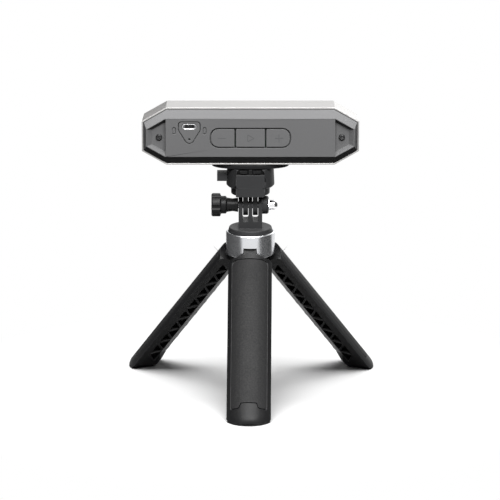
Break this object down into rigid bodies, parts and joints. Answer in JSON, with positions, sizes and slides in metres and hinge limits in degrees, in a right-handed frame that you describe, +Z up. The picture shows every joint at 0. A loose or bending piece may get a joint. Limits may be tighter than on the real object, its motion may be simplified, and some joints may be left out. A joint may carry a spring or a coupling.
{
  "type": "three-d scanner",
  "caption": "Handheld three-d scanner in an octagonal housing with a button row and charging socket behind, on a quick-release clamp and a folding mini tripod.",
  "frame": {"origin": "centre of the bounding box at floor level, under the soles of the open tripod", "axes": "+Z up; the rear cover with its buttons faces -Y, the lenses face +Y, the thumb knob points to -X"},
  "size_m": [0.181, 0.1624, 0.209],
  "materials": {
    "housing_silver": "bead-blasted silver anodising",
    "cover_grey": "fine satin, mid grey",
    "button_grey": "fine satin, mid grey",
    "screw_black": "black oxide",
    "steel": "bright",
    "black_plastic": "fine matt texture",
    "mount_plastic": "fine matt texture, dark grey",
    "board_green": "solder mask",
    "aluminium": "machined",
    "brass": "turned",
    "gloss_black": "polished",
    "lens_glass": "coated",
    "lamp_white": "clear moulded",
    "chrome": "polished",
    "collar_metal": "satin turned",
    "rubber": "matt"
  },
  "bodies": {
    "tripod_base": {"collar": "collar_metal", "hub": "black_plastic", "friction_washer": "steel", "centre_screw": "steel", "hinge_pin_front": "steel", "hinge_pin_right": "steel", "hinge_pin_left": "steel"},
    "pivot_head": {"pivot_mount": "mount_plastic", "acorn_nut": "chrome"},
    "thumb_screw": {"thumb_knob": "black_plastic", "thumb_bolt": "steel"},
    "clamp": {"clamp_body": "mount_plastic", "latch_spring": "steel"},
    "release_latch": {"release_tab": "mount_plastic"},
    "minus_key": {"button_minus": "button_grey"},
    "play_key": {"button_play": "button_grey"},
    "plus_key": {"button_plus": "button_grey"},
    "leg_front_body": {"leg_front": "black_plastic", "grip_panel_front": "rubber", "foot_pad_front": "rubber"},
    "leg_right_body": {"leg_right": "black_plastic", "grip_panel_right": "rubber", "foot_pad_right": "rubber"},
    "leg_left_body": {"leg_left": "black_plastic", "grip_panel_left": "rubber", "foot_pad_left": "rubber"},
    "scanner": {"board_screw_1": "steel", "board_screw_2": "steel", "board_screw_3": "steel", "board_screw_4": "steel", "camera_left_barrel": "black_plastic", "camera_left_lens": "lens_glass", "camera_right_barrel": "black_plastic", "camera_right_lens": "lens_glass", "colour_camera_barrel": "black_plastic", "colour_camera_lens": "lens_glass", "cover_screw_left": "screw_black", "cover_screw_right": "screw_black", "dovetail_foot": "black_plastic", "fill_light_inner": "lamp_white", "fill_light_outer": "lamp_white", "front_panel": "gloss_black", "heat_sink": "aluminium", "housing_shell": "housing_silver", "main_board": "board_green", "mounting_plate": "black_plastic", "optics_chassis": "aluminium", "plate_screw": "steel", "port_panel": "cover_grey", "projector_barrel": "black_plastic", "projector_lens": "lens_glass", "rear_cover": "cover_grey", "socket_shell": "steel", "socket_tongue": "black_plastic", "tact_switch_minus": "black_plastic", "tact_switch_play": "black_plastic", "tact_switch_plus": "black_plastic", "tripod_insert": "brass"}
  },
  "joints": [
    {"name": "leg_front_hinge", "type": "hinge", "parent": "tripod_base", "child": "leg_front_body", "pos_m": [-0.00076, 0.00744, 0.1045], "axis": [0.9999, -0.014, 0], "range_deg": [0, 39]},
    {"name": "leg_right_hinge", "type": "hinge", "parent": "tripod_base", "child": "leg_right_body", "pos_m": [0.01077, 0.02678, 0.1045], "axis": [-0.4879, 0.8729, 0], "range_deg": [0, 39]},
    {"name": "leg_left_hinge", "type": "hinge", "parent": "tripod_base", "child": "leg_left_body", "pos_m": [-0.01175, 0.0271, 0.1045], "axis": [-0.512, -0.859, 0], "range_deg": [0, 39]},
    {"name": "head_pan", "type": "hinge", "parent": "tripod_base", "child": "pivot_head", "pos_m": [-0.00058, 0.02044, 0.1151], "axis": [0, 0, 1], "continuous": true},
    {"name": "thumb_screw_turn", "type": "hinge", "parent": "pivot_head", "child": "thumb_screw", "pos_m": [-0.02508, 0.02044, 0.1343], "axis": [-1, 0, 0], "range_deg": [0, 540]},
    {"name": "head_tilt", "type": "hinge", "parent": "pivot_head", "child": "clamp", "pos_m": [-0.00058, 0.02044, 0.1343], "axis": [1, 0, 0], "range_deg": [-75, 75]},
    {"name": "release_slide", "type": "slide", "parent": "clamp", "child": "release_latch", "axis": [1, 0, 0], "range_m": [0, 0.002], "stiffness_N_per_m": 500, "springref_m": -0.001, "deforming": ["latch_spring"]},
    {"name": "plate_slide", "type": "slide", "parent": "clamp", "child": "scanner", "axis": [0, -1, 0], "range_m": [0, 0.022]},
    {"name": "minus_press", "type": "slide", "parent": "scanner", "child": "minus_key", "axis": [0, 1, 0], "range_m": [0, 0.0006], "stiffness_N_per_m": 500, "springref_m": -0.0003},
    {"name": "play_press", "type": "slide", "parent": "scanner", "child": "play_key", "axis": [0, 1, 0], "range_m": [0, 0.0006], "stiffness_N_per_m": 500, "springref_m": -0.0003},
    {"name": "plus_press", "type": "slide", "parent": "scanner", "child": "plus_key", "axis": [0, 1, 0], "range_m": [0, 0.0006], "stiffness_N_per_m": 500, "springref_m": -0.0003}
  ]
}
